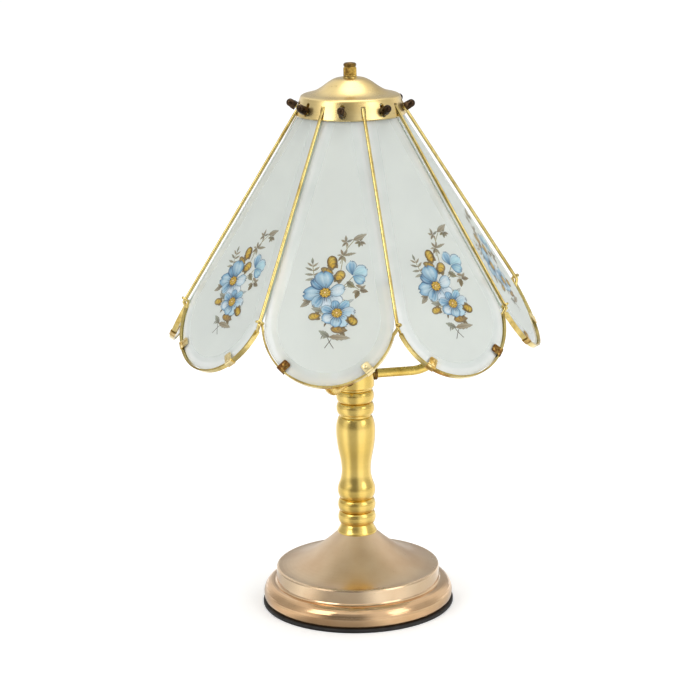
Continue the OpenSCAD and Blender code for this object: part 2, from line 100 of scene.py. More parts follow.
class Tree:
    """Short way to write a node tree."""

    def __init__(self, tree):
        self.tree = tree

    def new(self, kind, **values):
        """A node, with its settings and its sockets' values by name."""
        node = self.tree.nodes.new("ShaderNode" + kind)
        for key, value in values.items():
            if hasattr(node, key):
                setattr(node, key, value)
            else:
                node.inputs[key.replace("_", " ")].default_value = value
        return node

    def link(self, a, b):
        self.tree.links.new(a, b)

    def math(self, operation, a, b):
        node = self.new("Math", operation=operation)
        self.link(a, node.inputs[0])
        self.link(b, node.inputs[1])
        return node.outputs[0]

    def spread(self, fac, low, high, start=0.3, end=0.7, curve="LINEAR"):
        """A number that runs from low to high as fac runs from start to end."""
        node = self.new("MapRange", interpolation_type=curve)
        node.inputs["From Min"].default_value = start
        node.inputs["From Max"].default_value = end
        node.inputs["To Min"].default_value = low
        node.inputs["To Max"].default_value = high
        self.link(fac, node.inputs["Value"])
        return node.outputs["Result"]

    def mix(self, fac, a, b, blend_type="MIX"):
        """Each of fac, a and b is a socket to link or a value to set."""
        node = self.new("Mix", data_type="RGBA", blend_type=blend_type)
        for socket, value in zip((node.inputs[0], node.inputs[6], node.inputs[7]), (fac, a, b)):
            if isinstance(value, bpy.types.NodeSocket):
                self.link(value, socket)
            else:
                socket.default_value = value
        return node.outputs[2]


class Nodes(Tree):
    """A material, with sockets' values of its shader by name, and short ways to write its nodes."""

    def __init__(self, name, **values):
        self.mat = bpy.data.materials.new(name)
        self.mat.use_nodes = True
        super().__init__(self.mat.node_tree)
        self.bsdf = next(n for n in self.tree.nodes if n.type == "BSDF_PRINCIPLED")
        for key, value in values.items():
            self.bsdf.inputs[key.replace("_", " ")].default_value = value

    def coords(self):
        return self.new("TexCoord").outputs["Object"]

    def lathe_coords(self):
        """(distance from the lamp's axis, 0, height): for marks that run round the piece."""
        split = self.new("SeparateXYZ")
        self.link(self.coords(), split.inputs[0])
        flat = self.new("CombineXYZ")
        self.link(split.outputs["X"], flat.inputs["X"])
        self.link(split.outputs["Y"], flat.inputs["Y"])
        length = self.new("VectorMath", operation="LENGTH")
        self.link(flat.outputs[0], length.inputs[0])
        rz = self.new("CombineXYZ")
        self.link(length.outputs["Value"], rz.inputs["X"])
        self.link(split.outputs["Z"], rz.inputs["Z"])
        return rz.outputs[0]

    def height(self):
        split = self.new("SeparateXYZ")
        self.link(self.coords(), split.inputs[0])
        return split.outputs["Z"]

    def noise(self, at, scale, detail=3.0, roughness=0.5):
        node = self.new("TexNoise", Scale=scale, Detail=detail, Roughness=roughness)
        self.link(at, node.inputs["Vector"])
        return node.outputs["Fac"]

    def ramp(self, fac, *stops):
        node = self.new("ValToRGB")
        while len(node.color_ramp.elements) < len(stops):
            node.color_ramp.elements.new(0.5)
        for element, (place, colour) in zip(node.color_ramp.elements, stops):
            element.position = place
            element.color = colour
        self.link(fac, node.inputs["Fac"])
        return node.outputs["Color"]

    def colour(self, socket):
        self.link(socket, self.bsdf.inputs["Base Color"])

    def rough(self, socket):
        self.link(socket, self.bsdf.inputs["Roughness"])

    def bump(self, height, strength, distance):
        node = self.new("Bump", Strength=strength, Distance=distance)
        self.link(height, node.inputs["Height"])
        self.link(node.outputs["Normal"], self.bsdf.inputs["Normal"])


# Noise scales, per metre: what each pattern is on the real metal
SLOW, DULL, SPOTS, GRIME = 38.0, 90.0, 260.0, 340.0
MARK_DEPTH = 0.00006


def lathe_metal(name, light, dark, rough, marks, mark_strength, stain=None):
    """Spun or turned metal: fine marks that run round it, slow colour change and a few dull patches."""
    m = Nodes(name, Metallic=1.0, Coat_Weight=0.3, Coat_Roughness=0.12)
    slow = m.noise(m.coords(), SLOW, 4.0)
    fine = m.noise(m.lathe_coords(), marks, 2.0, 0.6)
    colour = m.ramp(slow, (0.3, dark), (0.62, light))
    streak = m.ramp(fine, (0.3, (0.93, 0.92, 0.90, 1)), (0.7, (1.0, 1.0, 1.0, 1)))
    colour = m.mix(1.0, colour, streak, "MULTIPLY")
    if stain is not None:
        spots = m.noise(m.coords(), SPOTS, 5.0, 0.62)
        colour = m.mix(m.spread(spots, 0.0, 0.5, 0.66, 0.74), colour, stain)
    m.colour(colour)
    m.rough(m.spread(m.noise(m.coords(), DULL, 4.0), *rough))
    m.bump(fine, mark_strength, MARK_DEPTH)
    return m.mat


# Heights on the base, in metres: top of the rounded step, and top of the upright band
STEP_TOP, BAND_TOP = (0.0155, 0.0185), (0.025, 0.029)


def champagne(name):
    """Plated steel of the base: a glossy, rosier lower step, and a satin flare above it, greyer and paler
    where a painted reflection of the pale glass shade is mixed into the rosy plating.
    """
    m = Nodes(name, Metallic=1.0, Coat_Weight=0.25, Coat_Roughness=0.12)
    slow = m.noise(m.coords(), SLOW, 4.0)
    fine = m.noise(m.lathe_coords(), 1700.0, 2.0, 0.6)
    rosy = m.ramp(slow, (0.3, linear(205, 164, 120)), (0.62, linear(217, 181, 139)))
    # grey is the rosy plating with a painted reflection of the pale glass shade mixed in; it takes over above
    # the rounded step
    grey = m.ramp(slow, (0.3, linear(212, 180, 143)), (0.62, linear(224, 198, 164)))
    colour = m.mix(m.spread(m.height(), 0.0, 1.0, *STEP_TOP), rosy, grey)
    spots = m.noise(m.coords(), SPOTS, 5.0, 0.62)
    m.colour(m.mix(m.spread(spots, 0.0, 0.35, 0.66, 0.74), colour, linear(150, 120, 88)))
    gloss = m.spread(m.noise(m.coords(), DULL, 4.0), 0.13, 0.2)
    m.rough(m.math("ADD", gloss, m.spread(m.height(), 0.0, 0.25, *BAND_TOP)))
    m.bump(fine, 0.1, MARK_DEPTH)
    return m.mat


def wire_metal(name, light, dark, rough, dirt=0.0, dark_above=None):
    """Drawn or stamped brass with tarnish in patches, and more of it above a height."""
    m = Nodes(name, Metallic=1.0)
    slow = m.noise(m.coords(), 55.0, 5.0, 0.6)
    colour = m.ramp(slow, (0.32, dark), (0.55, light))
    if dirt:
        grime = m.noise(m.coords(), GRIME, 6.0, 0.65)
        colour = m.mix(m.spread(grime, 0.0, dirt, 0.5, 0.68), colour, linear(74, 48, 22))
    if dark_above is not None:
        top = m.spread(m.height(), 0.0, 0.8, dark_above, dark_above + 0.0006)
        colour = m.mix(top, colour, linear(92, 66, 32))
    m.colour(colour)
    m.rough(m.spread(m.noise(m.coords(), 420.0, 4.0), *rough))
    m.bump(m.noise(m.coords(), 900.0, 3.0), 0.12, 0.0001)
    return m.mat


def plain(name, light, dark, rough, grain=600.0, depth=0.25, metallic=0.0, **values):
    """Cast, moulded or felted material: mottled colour and a fine grain. values are the shader's own."""
    m = Nodes(name, Metallic=metallic, **values)
    m.colour(m.ramp(m.noise(m.coords(), grain * 0.12, 4.0), (0.3, dark), (0.7, light)))
    m.rough(m.spread(m.noise(m.coords(), grain * 0.4, 3.0), *rough))
    m.bump(m.noise(m.coords(), grain, 4.0, 0.6), depth, 0.0002)
    return m.mat


def frosted(name):
    """Etched face of the glass: a matt, milky film with a faint cloudiness."""
    m = Nodes(name, IOR=1.5, Transmission_Weight=0.35)
    cloud = m.noise(m.coords(), 30.0, 3.0)
    m.colour(m.ramp(cloud, (0.3, linear(221, 226, 221)), (0.7, linear(227, 232, 226))))
    m.rough(m.spread(m.noise(m.coords(), 1500.0, 2.0), 0.5, 0.62))
    m.bump(m.noise(m.coords(), 5200.0, 2.0), 0.15, 0.00004)
    return m.mat


def ground_glass(name, low, high, transmission, rough):
    """Ground and polished glass: clear, with the slight waviness and haze of the grinding wheel."""
    m = Nodes(name, IOR=1.46, Transmission_Weight=transmission)
    m.colour(m.ramp(m.noise(m.coords(), 60.0, 2.0), (0.3, low), (0.7, high)))
    m.rough(m.spread(m.noise(m.coords(), 700.0, 3.0), *rough))
    m.bump(m.noise(m.coords(), 150.0, 2.0), 0.06, 0.0002)
    return m.mat


def painted(name):
    """Ceramic print on the glass: the colour painted on the mesh, broken by a fine brush grain."""
    m = Nodes(name, Roughness=0.4)
    paint = m.new("Attribute", attribute_name="paint").outputs["Color"]
    grain = m.noise(m.coords(), 1300.0, 4.0, 0.7)
    tone = m.ramp(grain, (0.3, (0.84, 0.85, 0.85, 1)), (0.62, (1.0, 1.0, 1.0, 1)))
    m.colour(m.mix(1.0, paint, tone, "MULTIPLY"))
    m.bump(grain, 0.2, 0.00003)
    return m.mat


def toned_clip(name):
    """Clip brass from bright to brown, by each clip's given tone."""
    m = Nodes(name, Metallic=1.0)
    clip_tone = m.new("Attribute", attribute_name="clip_tone").outputs["Fac"]
    spots = m.noise(m.coords(), 420.0, 5.0, 0.6)
    # each clip's brass runs from bright to dark brown by the tone given to that clip, with spots on top
    m.colour(m.ramp(m.math("ADD", clip_tone, m.spread(spots, -0.3, 0.3)), (0.15, linear(246, 226, 170)),
                    (0.5, linear(196, 160, 84)), (0.95, linear(104, 68, 34))))
    m.rough(m.spread(spots, 0.22, 0.42))
    m.bump(spots, 0.15, 0.0001)
    return m.mat


CHAMPAGNE = champagne("champagne_spun")
COLUMN = lathe_metal("satin_turned_brass", linear(236, 205, 116), linear(226, 191, 94), (0.2, 0.27),
                     1100.0, 0.1)
ARM = wire_metal("arm_brass", linear(228, 198, 108), linear(210, 176, 86), (0.24, 0.34), 0.12)
CAP = lathe_metal("polished_cap_brass", linear(240, 216, 152), linear(230, 200, 130), (0.25, 0.33),
                  900.0, 0.04, linear(150, 116, 60))
WIRE = wire_metal("bright_wire_brass", linear(224, 202, 130), linear(182, 156, 86), (0.10, 0.20), 0.3)
FERRULE = wire_metal("ferrule_brass", linear(120, 88, 44), linear(60, 40, 20), (0.3, 0.5), 0.9)
NUT = wire_metal("oxidised_nut", linear(74, 58, 42), linear(34, 27, 22), (0.18, 0.32), 0.3)
KNURL = wire_metal("tarnished_finial", linear(214, 182, 96), linear(156, 122, 60), (0.22, 0.38), 0.7,
                   FINIAL_HEAD_Z)
CLIP = toned_clip("clip_brass")
RUBBER = plain("black_rubber_edge", linear(34, 32, 30), linear(20, 19, 18), (0.55, 0.75))
FELT = plain("black_felt", linear(30, 30, 32), linear(16, 16, 18), (0.9, 1.0), 2400.0, 0.6)
CAST = plain("cast_iron_weight", linear(74, 74, 76), linear(52, 52, 54), (0.6, 0.8), 900.0, 0.6, 0.6)
ZINC = plain("zinc_plated_steel", linear(186, 186, 180), linear(160, 160, 156), (0.28, 0.42),
             700.0, 0.1, 1.0)
NICKEL = lathe_metal("nickel_plating", linear(206, 204, 198), linear(188, 186, 180), (0.18, 0.3),
                     900.0, 0.12)
PLASTIC = plain("white_moulding", linear(222, 222, 214), linear(210, 210, 202), (0.4, 0.55), 500.0, 0.1)
PHENOLIC = plain("brown_phenolic", linear(52, 36, 28), linear(36, 24, 18), (0.35, 0.5), 500.0, 0.1)
CARD = plain("pressed_card", linear(150, 128, 98), linear(124, 104, 78), (0.8, 0.95), 1500.0, 0.4)
SLEEVE = plain("wire_sleeve", linear(38, 38, 40), linear(24, 24, 26), (0.4, 0.55), 700.0, 0.1)
FIBRE = plain("fibre_washer", linear(112, 70, 44), linear(84, 50, 32), (0.6, 0.8), 1200.0, 0.3)
FROST = frosted("frosted_face")
BEVEL = ground_glass("ground_bevel", linear(214, 220, 216), linear(222, 227, 223), 0.3, (0.06, 0.14))
CLEAR = ground_glass("clear_rim", linear(242, 246, 243), linear(248, 251, 249), 0.45, (0.02, 0.06))
EDGE = ground_glass("green_edge", linear(214, 230, 218), linear(224, 238, 228), 0.3, (0.1, 0.2))
BULB = plain("frosted_bulb", linear(246, 246, 242), linear(238, 238, 233), (0.3, 0.4), 300.0, 0.05,
             Transmission_Weight=0.25)
PAINT = painted("ceramic_print")

# Looks by the record's material slot, and by node where one slot serves several finishes
LOOKS = {
    "brushed_champagne": CHAMPAGNE, "satin_brass": COLUMN, "bright_brass": WIRE, "aged_brass": FERRULE,
    "dark_nut": NUT, "black_rubber": RUBBER, "felt": FELT, "frosted_glass": FROST, "bulb_glass": BULB,
    "cast_weight": CAST, "zinc_steel": ZINC, "nickel": NICKEL, "white_plastic": PLASTIC,
    "brown_plastic": PHENOLIC, "card_liner": CARD, "wire_sleeve": SLEEVE, "fibre": FIBRE,
    "filament": ZINC,
}
slots = {s["node"]: s["material_slot"] for s in frame["record"]["subparts"]}
OWN_LOOK = {"arm_1": ARM, "arm_2": ARM, "arm_3": ARM, "shade_cap": CAP, "harp_boss": ARM}
for name, obj in nodes.items():
    look = OWN_LOOK.get(name, LOOKS[slots[name]])
    if not obj.material_slots:
        obj.data.materials.append(look)
    for s in obj.material_slots:
        s.material = look


# ---------- meshes ----------


CREASE = 32.0  # degrees


def sharpen(mesh, degrees):
    """Smooth shading, with creases kept where faces meet at more than the given angle."""
    bm = bmesh.new()
    bm.from_mesh(mesh)
    bmesh.ops.recalc_face_normals(bm, faces=bm.faces)
    for face in bm.faces:
        face.smooth = True
    for edge in bm.edges:
        edge.smooth = len(edge.link_faces) == 2 and edge.calc_face_angle(0.0) < math.radians(degrees)
    bm.to_mesh(mesh)
    bm.free()


def piece(name, points, faces, looks, body, matrix, face_looks=None, crease=CREASE, closed=True):
    """A new object from points in millimetres and faces, placed by matrix, riding on a CAD body."""
    mesh = bpy.data.meshes.new(name)
    mesh.from_pydata(points, [], faces)
    for look in looks:
        mesh.materials.append(look)
    if face_looks is not None:
        mesh.polygons.foreach_set("material_index", face_looks)
    mesh.transform(matrix)
    mesh.validate()
    if closed:
        sharpen(mesh, crease)
    obj = bpy.data.objects.new(name, mesh)
    bpy.context.scene.collection.objects.link(obj)
    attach(obj, body)
    return obj


# ---------- glass ----------


SIDE_STEPS, FOOT_STEPS = 6, 48


def glass_sides(inset):
    """Outline of a panel drawn in by inset from its sides and foot, in order round it."""
    r = GLASS_R - inset
    foot_x, foot_y = r * math.cos(TAPER), BOW_Y + r * math.sin(TAPER)
    top_x = foot_x - (GLASS_TOP_Y - foot_y) * math.tan(TAPER)
    side = [(top_x + (foot_x - top_x) * t / SIDE_STEPS, GLASS_TOP_Y + (foot_y - GLASS_TOP_Y) * t / SIDE_STEPS)
            for t in range(SIDE_STEPS)]
    foot = []
    for i in range(FOOT_STEPS + 1):
        a = TAPER - (math.pi + 2 * TAPER) * i / FOOT_STEPS
        foot.append((r * math.cos(a), BOW_Y + r * math.sin(a)))
    return side + foot + [(-x, y) for x, y in reversed(side)]


def glass_panel(k):
    """Bevelled panel: frosted in the middle, a hazy bevel, and a clear rim."""
    # From the back's middle round the edge to the front's: (inset from the outline, depth), and the look
    # (0 frost, 1 bevel, 2 clear, 3 edge) of the faces between each ring and the next
    rings = [(BEVEL_W, -GLASS_T), (0.12, -GLASS_T), (0.0, -GLASS_T + 0.12), (0.0, -BEVEL_D - 0.1),
             (0.12, -BEVEL_D + 0.02), (RIM_W, -BEVEL_D * (1 - RIM_W / BEVEL_W)),
             (BEVEL_W - 0.15, -0.02), (BEVEL_W, 0.0)]
    ring_looks = (2, 3, 3, 3, 2, 1, 0)
    points, faces, looks = [], [], []
    count = len(glass_sides(0.0))
    for inset, z in rings:
        points += [(x, y, z + GLASS_W) for x, y in glass_sides(inset)]
    for ring in range(len(rings) - 1):
        for i in range(count):
            j = (i + 1) % count
            a = ring * count
            faces.append((a + i, a + j, a + count + j, a + count + i))
            looks.append(ring_looks[ring])
    last = (len(rings) - 1) * count
    faces.append(tuple(range(last, last + count)))
    looks.append(0)
    faces.append(tuple(reversed(range(count))))
    looks.append(0)
    obj = piece(f"bevelled_glass_{k}", points, faces, [FROST, BEVEL, CLEAR, EDGE], "shade",
                petal_matrix(k), looks, crease=4.0)
    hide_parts(f"glass_panel_{k}")


# ---------- printed flower spray ----------

BLUE_DEEP, BLUE, BLUE_PALE = linear(54, 98, 132), linear(112, 158, 186), linear(172, 200, 211)
TEAL_PALE, WHITE_BLUE, LILAC = linear(164, 202, 210), linear(206, 217, 220), linear(200, 212, 219)
INK, BROWN_INK = linear(40, 70, 98), linear(62, 50, 34)
GOLD, GOLD_PALE, GOLD_DARK = linear(196, 152, 32), linear(214, 188, 84), linear(118, 86, 28)
UMBER, DARK = linear(134, 114, 82), linear(84, 76, 60)
SAGE, OLIVE = linear(166, 171, 150), linear(142, 132, 84)
TAUPE, GREY = linear(174, 167, 145), linear(168, 171, 158)
EYE_PALE, EYE_GOLD, EYE_HEART = linear(236, 214, 120), linear(206, 164, 44), linear(246, 236, 200)

# A petal or leaf: x, y of its root, length, width, heading in degrees, layer, and its colours at root,
# middle and rim. Places are in the petal's own frame, in millimetres.
PETAL_SHAPES = [
    (-3.9, -118.4, 13.5, 10.0, 180, 1, BLUE, BLUE_PALE, BLUE),
    (-4.6, -119.2, 9.6, 7.6, 230, 3, BLUE_DEEP, BLUE, BLUE_PALE),
    (-3.2, -119.4, 9.0, 7.6, 280, 2, BLUE_DEEP, LILAC, BLUE_PALE),
    (-2.6, -118.8, 12.4, 9.6, 322, 1, BLUE_PALE, WHITE_BLUE, WHITE_BLUE),
    (-2.2, -117.2, 11.4, 8.4, 12, 2, BLUE_PALE, WHITE_BLUE, BLUE_PALE),
    (-5.0, -116.6, 10.6, 7.6, 134, 2, BLUE_DEEP, BLUE, BLUE_DEEP),
    (-3.8, -115.6, 12.0, 12.4, 96, 4, BLUE, BLUE_PALE, BLUE),
    (5.8, -131.0, 10.6, 8.0, 4, 5, BLUE, BLUE_PALE, WHITE_BLUE),
    (5.6, -130.2, 9.6, 6.2, 50, 4, BLUE_DEEP, BLUE, TEAL_PALE),
    (4.6, -130.0, 7.4, 5.6, 106, 4, INK, BLUE, BLUE),
    (4.0, -130.8, 9.8, 6.6, 162, 5, BLUE_DEEP, BLUE, BLUE_PALE),
    (4.0, -131.8, 9.6, 8.0, 210, 6, BLUE, WHITE_BLUE, BLUE),
    (5.0, -132.2, 8.4, 7.6, 262, 7, BLUE_DEEP, BLUE_PALE, BLUE),
    (5.8, -132.0, 9.4, 8.6, 310, 6, BLUE, BLUE_PALE, BLUE_PALE),
    (13.6, -105.6, 9.6, 7.0, 100, 2, BLUE_DEEP, BLUE, BLUE_PALE),
    (14.0, -105.2, 9.2, 9.6, 28, 3, TEAL_PALE, TEAL_PALE, BLUE_PALE),
    (13.8, -106.0, 8.4, 6.8, -32, 4, BLUE, TEAL_PALE, BLUE),
]
LEAF_SHAPES = [
    (12.2, -82.4, 9.8, 3.8, 30, 1, UMBER, TAUPE, GREY),
    (16.6, -83.0, 3.6, 1.8, 205, 2, DARK, OLIVE, TAUPE),
    (16.8, -83.0, 4.2, 1.7, 335, 2, DARK, TAUPE, UMBER),
    (16.6, -82.8, 3.6, 1.5, 55, 2, DARK, TAUPE, TAUPE),
    (16.6, -83.2, 3.8, 2.0, 262, 2, DARK, OLIVE, SAGE),
    (17.0, -83.2, 3.4, 1.6, 300, 2, UMBER, TAUPE, TAUPE),
    (7.8, -83.4, 4.6, 1.8, 98, 1, DARK, TAUPE, TAUPE),
    (7.6, -83.4, 3.6, 1.6, 158, 1, UMBER, TAUPE, TAUPE),
    (7.8, -83.6, 3.8, 1.6, 232, 1, DARK, UMBER, TAUPE),
    (8.0, -83.6, 3.4, 1.4, 290, 1, UMBER, TAUPE, TAUPE),
    (8.0, -83.4, 4.8, 1.6, 24, 1, DARK, GREY, GREY),
    (6.4, -92.4, 4.4, 1.8, 112, 1, UMBER, UMBER, TAUPE),
    (6.6, -92.4, 4.6, 1.8, 60, 1, DARK, TAUPE, TAUPE),
    (6.6, -92.6, 8.6, 2.0, 12, 1, UMBER, TAUPE, SAGE),
    (6.2, -92.8, 4.6, 1.8, 232, 1, DARK, UMBER, TAUPE),
    (6.4, -93.0, 4.8, 1.8, 296, 1, UMBER, TAUPE, SAGE),
    (6.0, -92.6, 3.6, 1.4, 178, 1, TAUPE, TAUPE, TAUPE),
    (-12.8, -98.6, 4.4, 1.8, 98, 1, DARK, SAGE, GREY),
    (-12.8, -100.2, 4.4, 1.4, 146, 1, UMBER, TAUPE, TAUPE),
    (-12.6, -100.4, 4.4, 1.4, 40, 1, UMBER, TAUPE, TAUPE),
    (-12.4, -103.0, 5.6, 1.6, 160, 1, DARK, TAUPE, SAGE),
    (-12.2, -103.2, 5.0, 1.6, 34, 1, UMBER, TAUPE, SAGE),
    (-11.8, -105.8, 6.0, 1.7, 176, 1, UMBER, SAGE, GREY),
    (-11.6, -106.0, 4.6, 1.6, 22, 1, UMBER, TAUPE, GREY),
    (-10.8, -108.4, 6.4, 1.9, 192, 1, SAGE, TAUPE, GREY),
    (9.8, -110.2, 6.6, 4.2, -32, 2, DARK, OLIVE, SAGE),
    (15.8, -112.4, 5.4, 2.2, -18, 1, UMBER, TAUPE, TAUPE),
    (18.6, -115.4, 5.6, 3.0, -14, 2, DARK, UMBER, TAUPE),
    (18.8, -115.2, 4.6, 2.0, 40, 1, UMBER, TAUPE, TAUPE),
    (18.2, -116.0, 5.8, 3.2, -112, 2, DARK, UMBER, OLIVE),
    (17.6, -115.8, 4.2, 2.0, -152, 1, UMBER, TAUPE, TAUPE),
    (-12.4, -123.4, 8.0, 3.4, 212, 2, DARK, TAUPE, TAUPE),
    (-14.0, -123.8, 4.0, 1.8, 168, 2, UMBER, TAUPE, TAUPE),
    (-3.4, -130.2, 8.6, 3.4, 168, 2, DARK, GREY, SAGE),
    (-7.8, -128.2, 4.2, 1.8, 160, 1, UMBER, GREY, GREY),
    (10.4, -124.6, 5.6, 2.0, 30, 2, GREY, WHITE_BLUE, GREY),
    (1.2, -147.2, 8.4, 3.6, 152, 2, DARK, SAGE, GREY),
    (0.6, -147.2, 14.0, 4.0, -2, 3, UMBER, TAUPE, TAUPE),
    (-3.2, -145.8, 3.4, 0.9, 250, 2, DARK, GREY, GREY),
    (-0.8, -146.2, 3.2, 1.6, 222, 1, UMBER, SAGE, SAGE),
    (-1.6, -137.4, 3.4, 1.2, 248, 3, DARK, UMBER, UMBER),
]
# A bud: x, y of its centre, length, width, heading, layer, colours, and how far its dark sepals reach
BUD_SHAPES = [
    (-0.3, -97.0, 9.4, 7.8, 98, 3, GOLD, GOLD_PALE, GOLD_DARK, 1.0),
    (-3.9, -102.8, 8.2, 4.4, 160, 2, GOLD, OLIVE, UMBER, 1.4),
    (5.4, -106.0, 8.0, 7.6, 52, 3, GOLD, GOLD_PALE, UMBER, 2.0),
    (-10.0, -133.8, 7.6, 5.6, 190, 4, GOLD, GOLD_PALE, UMBER, 1.2),
    (15.4, -136.4, 7.4, 6.6, -38, 8, GOLD, GOLD_PALE, GOLD_DARK, 1.4),
    (6.2, -142.0, 10.6, 6.0, 176, 2, UMBER, GOLD, UMBER, 1.2),
]
# A flower's eye: x, y, radius, layer
CENTRES = [(-3.5, -117.8, 3.9, 8), (4.9, -131.2, 3.7, 9)]
STEMS = [
    [(5.0, -98), (6.4, -93), (8.6, -88), (12.6, -82.6)],
    [(8.6, -88), (8.0, -85), (7.8, -83.4)],
    [(14.6, -82.2), (16.6, -83.0)],
    [(6.4, -92.6), (6.2, -97), (5.6, -102.4)],
    [(-12.8, -98), (-12.2, -103), (-10.8, -108.6), (-8.4, -112.6)],
    [(-0.4, -100), (0.2, -105), (0.0, -110)],
    [(13.8, -106.6), (10.6, -110.4), (7.2, -114.0)],
    [(18.4, -115.6), (13.6, -112.8), (9.0, -113.6)],
    [(-0.6, -146.0), (1.2, -150.2), (4.2, -154.6)],
    [(2.4, -148.6), (0.6, -151.2), (-1.6, -154.6)],
    [(-2.0, -133.0), (-5.2, -131.8), (-7.4, -133.2)],
    [(12.6, -134.0), (10.6, -133.0), (8.4, -132.6)],
    [(4.6, -124.4), (8.2, -122.2), (11.6, -124.4)],
]


def between(a, b, t):
    """The colour part of the way from a to b, held between them."""
    t = min(1.0, max(0.0, t))
    return tuple(p + (q - p) * t for p, q in zip(a, b))


# By kind of blade: rows and columns of its grid, and how strong the inked line round it is
GRID = {"petal": (12, 10), "leaf": (10, 4), "bud": (12, 10)}
RIM_INK = {"petal": 0.9, "leaf": 0.5, "bud": 0.8}
PRINT_LIFT, LAYER_LIFT = 0.03, 0.02  # of the lowest layer off the glass, and of each layer off the last


class Print:
    """The mesh of one printed spray, in the petal's frame."""

    def __init__(self):
        self.points, self.faces, self.paint = [], [], []
        self.rng = random.Random(7)

    def height(self, layer):
        return GLASS_W + PRINT_LIFT + LAYER_LIFT * layer

    def grid(self, rows, columns, at, colour):
        """rows by columns points from at(u, v), painted by colour(u, v), u in 0..1 and v in -1..1."""
        start = len(self.points)
        for i in range(rows + 1):
            for j in range(columns + 1):
                u, v = i / rows, 2 * j / columns - 1
                self.points.append(at(u, v))
                self.paint.append(colour(u, v))
        for i in range(rows):
            for j in range(columns):
                a = start + i * (columns + 1) + j
                self.faces.append((a, a + 1, a + columns + 2, a + columns + 1))

    def blade(self, x, y, length, width, heading, layer, root, middle, rim, kind, ink):
        """A petal, leaf or bud, u from root to tip and v across, with an inked line round it."""
        turn = math.radians(heading)
        along, across = (math.cos(turn), math.sin(turn)), (-math.sin(turn), math.cos(turn))
        phase, waves = self.rng.uniform(0, 6.28), self.rng.randint(3, 5)
        widest = 0.6  # along a petal

        def half(u):
            """Half width at u: saw-edged on a leaf, oval on a bud, broad near the tip on a petal."""
            if kind == "leaf":
                blade = 0.05 + 0.95 * math.sin(math.pi * u ** 0.85)
                return blade * (1 + 0.16 * math.sin(34 * u + phase))
            if kind == "bud":
                return math.sqrt(max(0.01, 1 - (2 * u - 1) ** 2))
            if u < widest:
                return 0.12 + 0.88 * math.sin(math.pi / 2 * u / widest) ** 1.2
            tip = math.sqrt(1 - 0.96 * ((u - widest) / (1 - widest)) ** 2)
            return tip * (1 + 0.05 * math.sin(waves * 5 * u + phase))

        def at(u, v):
            notch = 0.05 * math.sin(waves * v + phase) if kind == "petal" else 0.0
            bend = 0.06 * width * math.sin(2.4 * u + phase) if kind != "bud" else 0.0
            reach = u * length * (1 + notch * u)
            side = 0.5 * width * half(u) * v + bend
            return (x + along[0] * reach + across[0] * side, y + along[1] * reach + across[1] * side,
                    self.height(layer))

        def colour(u, v):
            past = (u - widest) / (1 - widest) if u > widest and kind != "leaf" else 0.0
            edge = max(abs(v), past)
            body = between(root, middle, (1.7 if kind == "petal" else 1.0) * u)
            body = between(body, rim, (edge - 0.35) / 0.5)
            if kind == "petal":
                vein = (0.5 + 0.5 * math.cos(5 * math.pi * v + phase)) * max(0.0, 0.75 - u)
                shade = 0.5 + 0.5 * math.sin(3.1 * u + 2.2 * v + phase)
                body = between(body, ink, 0.75 * vein + 0.16 * shade)
                light = max(0.0, math.cos(3 * math.pi * v + 2 * phase))
                body = between(body, WHITE_BLUE, 0.5 * light * max(0.0, 1 - 2.2 * abs(u - 0.66)))
            elif kind == "bud":
                scales = abs(math.sin(3.4 * math.pi * (u + 0.3 * v * v) + 2.2 * v + phase))
                body = between(body, ink, 0.95 * max(0.0, 0.6 - scales) / 0.6)
                body = between(body, ink, 0.85 * max(0.0, -v * math.cos(phase) - 0.1))
            else:
                body = between(body, ink, 0.4 * max(0.0, 0.3 - abs(v)) / 0.3)
            return between(body, ink, RIM_INK[kind] * (edge - 0.82) / 0.18)

        self.grid(*GRID[kind], at, colour)

    def disc(self, x, y, r, layer, inner, middle, outer):
        """A flower's eye: a round of stamens with a pale heart and a ragged rim."""
        phase = self.rng.uniform(0, 6.28)

        def at(u, v):
            turn = math.pi * v
            ragged = 0.1 if u > 0.9 else 0.0
            reach = r * (0.05 + 0.95 * u) * (1 + ragged * math.sin(17 * turn + phase))
            return (x + reach * math.cos(turn), y + 0.9 * reach * math.sin(turn), self.height(layer))

        def colour(u, v):
            dots = math.sin(8 * math.pi * v + phase + 3 * u) * math.sin(10 * u + phase)
            dots = max(0.0, dots) ** 0.6
            body = between(inner, middle, 1.6 * u)
            body = between(body, outer, 1.3 * dots * min(1.0, 2.2 * u))
            return between(body, outer, (u - 0.86) / 0.14)

        self.grid(9, 54, at, colour)

    def line(self, route, width, layer, shade):
        """A thin stroke along a smooth (Catmull-Rom) route."""
        places, steps = [], 5
        for i in range(len(route) - 1):
            p = [route[max(0, min(len(route) - 1, i + d))] for d in (-1, 0, 1, 2)]
            for t in (s / steps for s in range(steps)):
                places.append(tuple(
                    0.5 * (2 * b + (c - a) * t + (2 * a - 5 * b + 4 * c - d) * t * t
                           + (3 * b - a - 3 * c + d) * t ** 3)
                    for a, b, c, d in zip(*p)))
        places.append(route[-1])
        start = len(self.points)
        for i, (x, y) in enumerate(places):
            x0, y0 = places[max(0, i - 1)]
            x1, y1 = places[min(len(places) - 1, i + 1)]
            size = math.hypot(x1 - x0, y1 - y0)
            nx, ny = -(y1 - y0) / size * width / 2, (x1 - x0) / size * width / 2
            for side in (-1, 1):
                self.points.append((x + side * nx, y + side * ny, self.height(layer)))
                self.paint.append(shade)
        for i in range(len(places) - 1):
            a = start + 2 * i
            self.faces.append((a, a + 2, a + 3, a + 1))


